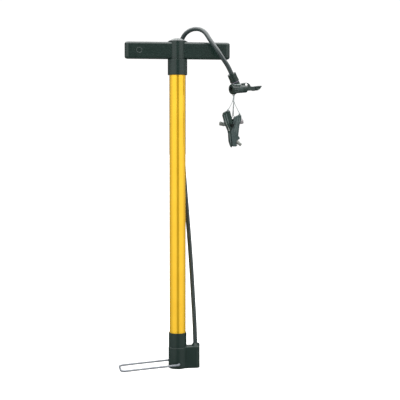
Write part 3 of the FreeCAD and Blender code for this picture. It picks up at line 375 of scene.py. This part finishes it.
def noise_node(nodes, links, scale, detail):
    """Noise by the object's own coordinates, scale in features per metre."""
    coordinates = nodes.new("ShaderNodeTexCoord")
    noise = nodes.new("ShaderNodeTexNoise")
    noise.inputs["Scale"].default_value = scale
    noise.inputs["Detail"].default_value = detail
    links.new(coordinates.outputs["Object"], noise.inputs["Vector"])
    return noise


def noise_range(nodes, links, noise):
    """Stretches the noise's usual spread to the range from 0 to 1."""
    spread = nodes.new("ShaderNodeMapRange")
    spread.inputs["From Min"].default_value = NOISE_LOW
    spread.inputs["From Max"].default_value = NOISE_HIGH
    links.new(noise.outputs["Fac"], spread.inputs["Value"])
    return spread


def finish_material(name, dark, light, rough, settings=(), tone_scale=60.0, rough_scale=180.0,
                    grain_scale=1500.0, grain=0.05, grain_size=0.0002):
    """Tone, roughness and fine relief, all varying by noise. rough is a low and a high value."""
    material, nodes, links, shader = new_material(name)
    for socket, value in settings:
        shader.inputs[socket].default_value = value
    spread = noise_range(nodes, links, noise_node(nodes, links, tone_scale, TONE_DETAIL))
    mix = nodes.new("ShaderNodeMix")
    mix.data_type = "RGBA"
    mix.inputs[MIX_A].default_value = (*dark, 1.0)
    mix.inputs[MIX_B].default_value = (*light, 1.0)
    links.new(spread.outputs["Result"], mix.inputs[MIX_FACTOR])
    links.new(mix.outputs[MIX_RESULT], shader.inputs["Base Color"])
    wear = noise_range(nodes, links, noise_node(nodes, links, rough_scale, WEAR_DETAIL))
    wear.inputs["To Min"].default_value, wear.inputs["To Max"].default_value = rough
    links.new(wear.outputs["Result"], shader.inputs["Roughness"])
    relief = noise_node(nodes, links, grain_scale, GRAIN_DETAIL)
    bump = nodes.new("ShaderNodeBump")
    bump.inputs["Strength"].default_value = grain
    bump.inputs["Distance"].default_value = grain_size
    links.new(relief.outputs["Fac"], bump.inputs["Height"])
    links.new(bump.outputs["Normal"], shader.inputs["Normal"])
    return material


MATERIALS = {
    "yellow_enamel": finish_material(
        "enamel_yellow", (0.94, 0.545, 0.024), (0.99, 0.595, 0.032), (0.08, 0.13),
        (("Metallic", 0.6), ("Coat Weight", 0.25), ("Coat Roughness", 0.05)),
        tone_scale=25.0, grain_scale=700.0, grain=0.02),
    "black_plastic": finish_material(
        "plastic_black", (0.0078, 0.0190, 0.0155), (0.0108, 0.0228, 0.0190), (0.22, 0.30),
        grain_scale=1800.0, grain=0.05),
    # light grey plastic for the inlet's collar: a painted highlight of the light caught where the inlet
    # meets the head's body
    "bead_painted_highlight": finish_material(
        "plastic_collar_painted_highlight", (0.22, 0.27, 0.26), (0.32, 0.37, 0.36), (0.20, 0.30),
        grain_scale=1800.0, grain=0.05),
    # lighter copy of the black plastic for the ribs: a painted highlight along their rounded tops
    "rib_painted_highlight": finish_material(
        "plastic_ribs_painted_highlight", (0.058, 0.082, 0.078), (0.084, 0.110, 0.106), (0.26, 0.36),
        grain_scale=1800.0, grain=0.08),
    # lighter copy of the black plastic for the mark's ring: a painted highlight on the groove's edge
    "mark_painted_highlight": finish_material(
        "plastic_ring_painted_highlight", (0.050, 0.066, 0.062), (0.070, 0.088, 0.084), (0.28, 0.36),
        grain_scale=1800.0, grain=0.05),
    "base_plastic": finish_material(
        "plastic_base", (0.0080, 0.0190, 0.0155), (0.0110, 0.0225, 0.0190), (0.30, 0.38),
        (("Specular IOR Level", 0.30),), grain_scale=1800.0, grain=0.05),
    # the dome's plastic is a lighter copy of the black plastic: a painted highlight of the overhead light
    # on its top
    "gloss_black": finish_material(
        "plastic_dome_painted_highlight", (0.030, 0.040, 0.038), (0.040, 0.050, 0.048), (0.40, 0.48),
        (("Specular IOR Level", 0.6),), grain_scale=1200.0, grain=0.04),
    "clip_plastic": finish_material(
        "plastic_clip", (0.0100, 0.0235, 0.0190), (0.0175, 0.0330, 0.0285), (0.20, 0.30),
        grain_scale=1800.0, grain=0.08),
    # the right arm's plastic is a lighter copy of the clip's: painted light on the arm's lit side
    "jaw_painted_light": finish_material(
        "plastic_right_arm_painted_light", (0.028, 0.046, 0.044), (0.042, 0.062, 0.061), (0.24, 0.34),
        grain_scale=1800.0, grain=0.08),
    "white_nylon": finish_material(
        "nylon_white", (0.62, 0.61, 0.56), (0.70, 0.69, 0.64), (0.35, 0.45),
        (("Subsurface Weight", 0.1), ("Subsurface Scale", 0.002))),
    "felt": finish_material(
        "felt_grey", (0.10, 0.10, 0.09), (0.17, 0.17, 0.155), (0.85, 0.95),
        (("Sheen Weight", 0.4),), grain_scale=3500.0, grain=0.5, grain_size=0.0004),
    "black_rubber": finish_material(
        "rubber_black", (0.008, 0.009, 0.009), (0.013, 0.014, 0.014), (0.50, 0.62),
        grain_scale=2500.0, grain=0.15),
    "violet_rubber": finish_material(
        "rubber_violet", (0.13, 0.10, 0.15), (0.18, 0.145, 0.205), (0.30, 0.42),
        grain_scale=2000.0, grain=0.08),
    "hose_rubber": finish_material(
        "hose_pvc", (0.016, 0.026, 0.026), (0.024, 0.036, 0.036), (0.20, 0.28),
        (("Coat Weight", 0.2), ("Coat Roughness", 0.12)), grain_scale=900.0, grain=0.06),
    "brass": finish_material(
        "brass_turned", (0.62, 0.42, 0.14), (0.74, 0.52, 0.20), (0.22, 0.34),
        (("Metallic", 1.0),), grain_scale=1400.0, grain=0.05),
    "zinc_steel": finish_material(
        "steel_zinc", (0.46, 0.47, 0.47), (0.60, 0.61, 0.60), (0.30, 0.42),
        (("Metallic", 1.0),), grain_scale=1200.0, grain=0.06),
    "chrome_steel": finish_material(
        "steel_chromed", (0.25, 0.265, 0.275), (0.33, 0.345, 0.355), (0.18, 0.28),
        (("Metallic", 1.0),), grain_scale=500.0, grain=0.03),
    "nozzle_metal": finish_material(
        "metal_nozzle", (0.28, 0.265, 0.275), (0.36, 0.34, 0.35), (0.46, 0.56),
        (("Metallic", 0.45),), grain_scale=1100.0, grain=0.05),
    "needle_metal": finish_material(
        "metal_needle", (0.13, 0.145, 0.135), (0.18, 0.195, 0.185), (0.46, 0.56),
        (("Metallic", 0.35),), grain_scale=1100.0, grain=0.05),
    "stub_metal": finish_material(
        "metal_stub", (0.17, 0.18, 0.165), (0.24, 0.25, 0.235), (0.38, 0.48),
        (("Metallic", 0.35),), grain_scale=900.0, grain=0.04),
    "wire_metal": finish_material(
        "metal_wire", (0.15, 0.165, 0.185), (0.21, 0.225, 0.245), (0.40, 0.50),
        (("Metallic", 0.35),), grain_scale=900.0, grain=0.04),
    "strip_metal": finish_material(
        "metal_strip", (0.30, 0.32, 0.30), (0.42, 0.44, 0.42), (0.30, 0.40),
        (("Metallic", 0.8),), grain_scale=900.0, grain=0.04),
    "rivet_metal": finish_material(
        "metal_rivet", (0.84, 0.84, 0.83), (0.92, 0.92, 0.91), (0.30, 0.40),
        (("Metallic", 0.7),), grain_scale=1100.0, grain=0.05),
    # near-black steel for the clip's pin and spring: painted shade of the dark pivot between the arms
    "steel_painted_shade": finish_material(
        "steel_pivot_painted_shade", (0.030, 0.034, 0.033), (0.050, 0.055, 0.053), (0.25, 0.35),
        (("Metallic", 1.0),), grain_scale=1100.0, grain=0.05),
    "string_nylon": finish_material(
        "string_nylon_grey", (0.22, 0.25, 0.25), (0.31, 0.34, 0.34), (0.45, 0.60),
        (("Sheen Weight", 0.2),), grain_scale=6000.0, grain=0.25),
}
# nodes whose finish is a variant of their slot's; the clip's right arm gets a lighter variant, painted
# light, and the clip's pin and spring a near-black one, painted shade
OTHER_FINISHES = {
    "ball_needle": "needle_metal", "lever_pin": "rivet_metal", "clip_pin": "steel_painted_shade",
    "clip_spring": "steel_painted_shade", "base_body": "base_plastic", "clip_outlet": "stub_metal",
    "outlet_ball": "stub_metal", "foot_stirrup": "wire_metal", "clip_arm_right": "jaw_painted_light",
}


def dress(obj, material):
    """Gives an object this one material."""
    obj.data.materials.clear()
    obj.data.materials.append(material)


for subpart in frame["record"]["subparts"]:
    node = subpart["node"]
    dress(frame["nodes"][node], MATERIALS[OTHER_FINISHES.get(node, subpart["material_slot"])])
dress(hose, MATERIALS["hose_rubber"])
for piece in [clip_cord, needle_cord] + [piece for piece, _ in string_pieces]:
    dress(piece, MATERIALS["string_nylon"])


# --- small pieces on the head and the clip ------------------------------------------------------

# the head's own frame: x runs from its mouth along its bore, z up, in mm
HEAD_MOUTH = Vector((94.6, -26.0, 514.0)) * MM
HEAD_TURN = Matrix.Rotation(math.radians(21.7), 3, "Z") @ Matrix.Rotation(math.radians(-4.4), 3, "Y")
HEAD_R = 8.0
SHOULDER_X = 11.2
SHOULDER_HALF_LENGTH = 8.3
SHOULDER_HALF_WIDTH = 7.75
SHOULDER_TOP = 9.0
SHOULDER_DIP = 1.6
BEAD_R = 0.75
BEAD_STEPS = 96
BODY_RIBS_X = [11.6, 14.4, 17.2, 20.0]
BODY_RIB_R = 0.5
BODY_RIB_REACH = math.radians(38)
BODY_RIB_STEPS = 24


def on_head(x, y, z):
    """A place given in the head's own frame."""
    return HEAD_MOUTH + HEAD_TURN @ (Vector((x, y, z)) * MM)


def shoulder_bead():
    """A rounded collar round the foot of the inlet, dipping at the sides as the body falls away; it is
    coloured light grey as a painted highlight.
    """
    run = []
    for n in range(BEAD_STEPS + 1):
        angle = 2 * math.pi * n / BEAD_STEPS
        x = SHOULDER_X + SHOULDER_HALF_LENGTH * math.cos(angle)
        z = SHOULDER_TOP - SHOULDER_DIP * math.sin(angle) ** 2
        run.append(on_head(x, SHOULDER_HALF_WIDTH * math.sin(angle), z))
    shape = bmesh.new()
    tube_into(shape, run, BEAD_R * MM, FINE_TUBE_SIDES)
    return mesh_object("head_shoulder_bead", shape)


def body_ribs():
    """Moulded grip ribs round both sides of the head's body, coloured lighter as painted highlights."""
    shape = bmesh.new()
    for x in BODY_RIBS_X:
        for side in (-1, 1):
            run = []
            for n in range(BODY_RIB_STEPS + 1):
                angle = BODY_RIB_REACH * (2 * n / BODY_RIB_STEPS - 1)
                run.append(on_head(x, side * HEAD_R * math.cos(angle), HEAD_R * math.sin(angle)))
            tube_into(shape, run, BODY_RIB_R * MM, FINE_TUBE_SIDES)
    return mesh_object("head_body_ribs", shape)


# the ribs and the collar are lighter than the head's black body: painted highlights on their rounded tops
for piece, finish in ((body_ribs(), "rib_painted_highlight"), (shoulder_bead(), "bead_painted_highlight")):
    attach(piece, "pump_body")
    dress(piece, MATERIALS[finish])


# plated strip along the left arm's front face: x, z from the clip's pin and half width
CLIP_PIN = Vector((95.9, -24.0, 448.1)) * MM
STRIP_LINE = [
    (-12.4, 8.0, 0.30), (-9.6, 2.0, 0.35), (-7.0, -3.6, 0.45), (-5.5, -7.2, 0.8), (-4.6, -10.0, 1.0),
]
STRIP_THICKNESS = 0.4
STRIP_EDGE = 0.12


def across_line(tangent):
    """The direction square to a line that lies in the clip's face."""
    return Vector((tangent.z, 0, -tangent.x)).normalized()


def metal_strip():
    """A thin bent strip that lies on the arm's front face and widens to its lower end."""
    shape = bmesh.new()
    line = [Vector((x, 0, z)) * MM + CLIP_PIN for x, z, _ in STRIP_LINE]
    rows = []
    for point, (_, _, half), (tangent, _, _) in zip(line, STRIP_LINE, frames_along(line)):
        across = across_line(tangent) * half * MM
        row = []
        for side, lift in ((-1, 0), (1, 0), (1, 1), (-1, 1)):
            depth = Vector((0, -(ARM_HALF_DEPTH + lift * STRIP_THICKNESS) * MM, 0))
            row.append(shape.verts.new(point + across * side + depth))
        rows.append(row)
    loft_into(shape, rows)
    piece = mesh_object("clip_edge_strip", shape, smooth=False)
    bevel = piece.modifiers.new("edge", "BEVEL")
    bevel.width = STRIP_EDGE * MM
    bevel.segments = 2
    return piece


strip = metal_strip()
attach(strip, "adapters")
dress(strip, MATERIALS["strip_metal"])


# grip ribs along both faces of the clip's arms, coloured lighter than the arms as painted highlights: (x,
# z) from the clip's pin
LEFT_RIBS = [
    [(-14.0, 19.6), (-13.4, 15.0), (-11.6, 8.6), (-8.8, 2.6)],
    [(-10.6, 22.4), (-9.6, 16.0), (-7.8, 9.6), (-5.6, 3.6)],
    [(-3.9, -12.0), (-3.7, -19.0), (-2.9, -27.0), (-1.6, -34.0)],
]
RIGHT_RIBS = [
    [(6.0, 0.4), (5.9, -4.0), (5.5, -8.0), (5.2, -12.0)],
    [(11.0, 15.8), (10.2, 10.0), (9.4, 3.4), (9.1, -4.0), (8.7, -12.0), (8.4, -17.0)],
    [(14.6, 13.6), (13.8, 8.6), (12.4, 3.0)],
]
RIB_HALF_WIDTH = 0.95
RIB_HEIGHT = 0.55
RIB_SINK = 0.1
RIB_SPACING = 0.8
RIB_STEPS = 8
# how far outside a rib, in steps, its taper would reach nothing
RIB_END = 0.35


def arm_ribs(name, lines):
    """Low rounded ribs with tapered ends, on the front and the back face."""
    shape = bmesh.new()
    for line in lines:
        points = even([Vector((x, 0, z)) * MM + CLIP_PIN for x, z in line], RIB_SPACING * MM)
        frames = frames_along(points)
        for face in (-1, 1):
            rows = []
            for n, (point, (tangent, _, _)) in enumerate(zip(points, frames)):
                place = (n + RIB_END) / (len(points) - 1 + 2 * RIB_END)
                taper = math.sqrt(math.sin(math.pi * place))
                across = across_line(tangent) * RIB_HALF_WIDTH * MM * taper
                row = []
                for m in range(RIB_STEPS + 1):
                    angle = math.pi * m / RIB_STEPS
                    lift = ARM_HALF_DEPTH - RIB_SINK + (RIB_HEIGHT + RIB_SINK) * math.sin(angle) * taper
                    depth = Vector((0, face * lift * MM, 0))
                    row.append(shape.verts.new(point + across * math.cos(angle) + depth))
                rows.append(row)
            loft_into(shape, rows)
    return mesh_object(name, shape)


for name, lines, body in (
    ("clip_ribs_left", LEFT_RIBS, "adapters"),
    ("clip_ribs_right", RIGHT_RIBS, "clip_jaw"),
):
    ribs = arm_ribs(name, lines)
    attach(ribs, body)
    dress(ribs, MATERIALS["rib_painted_highlight"])


def valve_spring():
    """The spring rides on the ball."""
    node = frame["nodes"]["outlet_spring"]
    piece = link("valve_spring_coil", node.data.copy())
    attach(piece, "ball")
    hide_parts("outlet_spring")
    dress(piece, MATERIALS["chrome_steel"])
    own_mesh(piece)


valve_spring()

# plain ring round the mark on the handle's left half, coloured lighter than the handle as a painted
# highlight of the mark's groove
MARK_AT = Vector((-71.0, -9.5, 584.5)) * MM
MARK_R = 4.8
MARK_RING_R = 0.42
MARK_STEPS = 48


def mark_ring():
    """A low ring seated in the mark's groove, lighter than the handle as a painted highlight of the
    groove's edge.
    """
    points = []
    for n in range(MARK_STEPS + 1):
        angle = 2 * math.pi * n / MARK_STEPS
        points.append(MARK_AT + Vector((math.cos(angle), 0, math.sin(angle))) * MARK_R * MM)
    shape = bmesh.new()
    tube_into(shape, points, MARK_RING_R * MM, FINE_TUBE_SIDES)
    return mesh_object("handle_mark_ring", shape)


ring = mark_ring()
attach(ring, "handle")
dress(ring, MATERIALS["mark_painted_highlight"])


# --- floor, lights and surroundings -------------------------------------------------------------

FLOOR_R = 14.0
FLOOR_SIDES = 96
FLOOR_COLOUR = (0.93, 0.93, 0.93, 1.0)
FLOOR_ROUGHNESS = 0.9
FLOOR_SPECULAR = 0.1
FLOOR_GLOW = 0.62
WORLD_COLOUR = (1.0, 1.0, 1.0, 1.0)
WORLD_STRENGTH = 1.06
# what glossy reflections see, as (place, level) stops: round the object from its front at 0 to its back
# at 1, and from straight down at 0 to straight up at 1
ROUND_LEVELS = [(0.0, 0.01), (0.070, 0.02), (0.105, 0.85), (0.20, 1.0), (0.38, 1.0), (0.54, 0.55),
                (0.74, 0.14), (1.0, 0.08)]
HEIGHT_LEVELS = [(0.0, 0.50), (0.30, 0.50), (0.40, 0.70), (0.52, 1.15), (0.70, 1.05), (0.78, 0.4),
                 (1.0, 0.4)]
TOP_LEVELS = [(0.0, 0.0), (0.69, 0.0), (0.82, 1.0), (1.0, 1.0)]
TOP_STRENGTH = 4.5
FRONT_TURN = math.radians(4.5)
FRONT_AZIMUTH = math.atan2(CAMERA_AT.y, CAMERA_AT.x) + FRONT_TURN


def make_floor():
    """A plain pale floor that glossy reflections look through, to the world's soft boxes."""
    shape = bmesh.new()
    bmesh.ops.create_circle(shape, cap_ends=True, segments=FLOOR_SIDES, radius=FLOOR_R)
    floor = mesh_object("floor", shape, smooth=False)
    material, nodes, links, shader = new_material("floor_paper")
    shader.inputs["Base Color"].default_value = FLOOR_COLOUR
    shader.inputs["Roughness"].default_value = FLOOR_ROUGHNESS
    shader.inputs["Specular IOR Level"].default_value = FLOOR_SPECULAR
    path = nodes.new("ShaderNodeLightPath")
    glow = nodes.new("ShaderNodeEmission")
    glow.inputs["Strength"].default_value = FLOOR_GLOW
    seen = nodes.new("ShaderNodeAddShader")
    clear = nodes.new("ShaderNodeBsdfTransparent")
    by_camera = nodes.new("ShaderNodeMixShader")
    by_gloss = nodes.new("ShaderNodeMixShader")
    output = nodes["Material Output"]
    links.new(shader.outputs["BSDF"], seen.inputs[0])
    links.new(glow.outputs["Emission"], seen.inputs[1])
    links.new(path.outputs["Is Camera Ray"], by_camera.inputs[0])
    links.new(shader.outputs["BSDF"], by_camera.inputs[1])
    links.new(seen.outputs["Shader"], by_camera.inputs[2])
    links.new(path.outputs["Is Glossy Ray"], by_gloss.inputs[0])
    links.new(by_camera.outputs["Shader"], by_gloss.inputs[1])
    links.new(clear.outputs["BSDF"], by_gloss.inputs[2])
    links.new(by_gloss.outputs["Shader"], output.inputs["Surface"])
    floor.data.materials.append(material)


def stepped(nodes, links, value, stops):
    """A level read from a value between 0 and 1 by a ramp of (place, level) stops."""
    ramp = nodes.new("ShaderNodeValToRGB")
    elements = ramp.color_ramp.elements
    while len(elements) < len(stops):
        elements.new(0.5)
    for element, (place, level) in zip(elements, stops):
        element.position = place
        element.color = (level, level, level, 1.0)
    links.new(value, ramp.inputs["Fac"])
    return ramp.outputs["Color"]


def make_world():
    """White surroundings; glossy reflections see soft boxes round the object with gaps between."""
    world = bpy.data.worlds.new("studio")
    world.use_nodes = True
    bpy.context.scene.world = world
    world.cycles.sampling_method = "NONE"
    nodes, links = world.node_tree.nodes, world.node_tree.links

    def maths(operation, *values):
        node = nodes.new("ShaderNodeMath")
        node.operation = operation
        for socket, value in zip(node.inputs, values):
            if isinstance(value, (int, float)):
                socket.default_value = value
            else:
                links.new(value, socket)
        return node.outputs["Value"]

    plain = nodes["Background"]
    plain.inputs["Color"].default_value = WORLD_COLOUR
    plain.inputs["Strength"].default_value = WORLD_STRENGTH
    coordinates = nodes.new("ShaderNodeTexCoord")
    separate = nodes.new("ShaderNodeSeparateXYZ")
    links.new(coordinates.outputs["Generated"], separate.inputs["Vector"])
    # how far a direction is from the front, 0 in front and 1 behind
    azimuth = maths("ARCTAN2", separate.outputs["Y"], separate.outputs["X"])
    turn = maths("ARCCOSINE", maths("COSINE", maths("SUBTRACT", azimuth, FRONT_AZIMUTH)))
    round_boxes = stepped(nodes, links, maths("DIVIDE", turn, math.pi), ROUND_LEVELS)
    # 0 straight down and 1 straight up
    rise = maths("MULTIPLY_ADD", separate.outputs["Z"], 0.5, 0.5)
    side_level = stepped(nodes, links, rise, HEIGHT_LEVELS)
    top_level = stepped(nodes, links, rise, TOP_LEVELS)
    sides = maths("MULTIPLY", round_boxes, side_level)
    total = maths("ADD", sides, maths("MULTIPLY", top_level, TOP_STRENGTH))
    boxes = nodes.new("ShaderNodeBackground")
    boxes.inputs["Color"].default_value = WORLD_COLOUR
    links.new(total, boxes.inputs["Strength"])
    path = nodes.new("ShaderNodeLightPath")
    mix = nodes.new("ShaderNodeMixShader")
    links.new(path.outputs["Is Glossy Ray"], mix.inputs[0])
    links.new(plain.outputs["Background"], mix.inputs[1])
    links.new(boxes.outputs["Background"], mix.inputs[2])
    links.new(mix.outputs["Shader"], nodes["World Output"].inputs["Surface"])


LIGHT_AIM = Vector((0.0, 0.0, 0.3))
LIGHT_WIDTH, LIGHT_HEIGHT = 1.2, 1.6


def soft_box(name, place, power):
    """An area light aimed at the pump's middle, which glossy reflections don't see."""
    data = bpy.data.lights.new(name, "AREA")
    data.shape = "RECTANGLE"
    data.size, data.size_y = LIGHT_WIDTH, LIGHT_HEIGHT
    data.energy = power
    light = link(name, data)
    light.location = place
    light.rotation_euler = (LIGHT_AIM - Vector(place)).to_track_quat("-Z", "Y").to_euler()
    light.visible_glossy = False


make_floor()
make_world()
soft_box("key_left", (-1.5, -1.5, 1.7), 22.0)
soft_box("fill_right", (1.6, -1.1, 1.3), 12.0)
bpy.context.scene.view_settings.view_transform = "Standard"
bpy.context.scene.view_settings.look = "None"
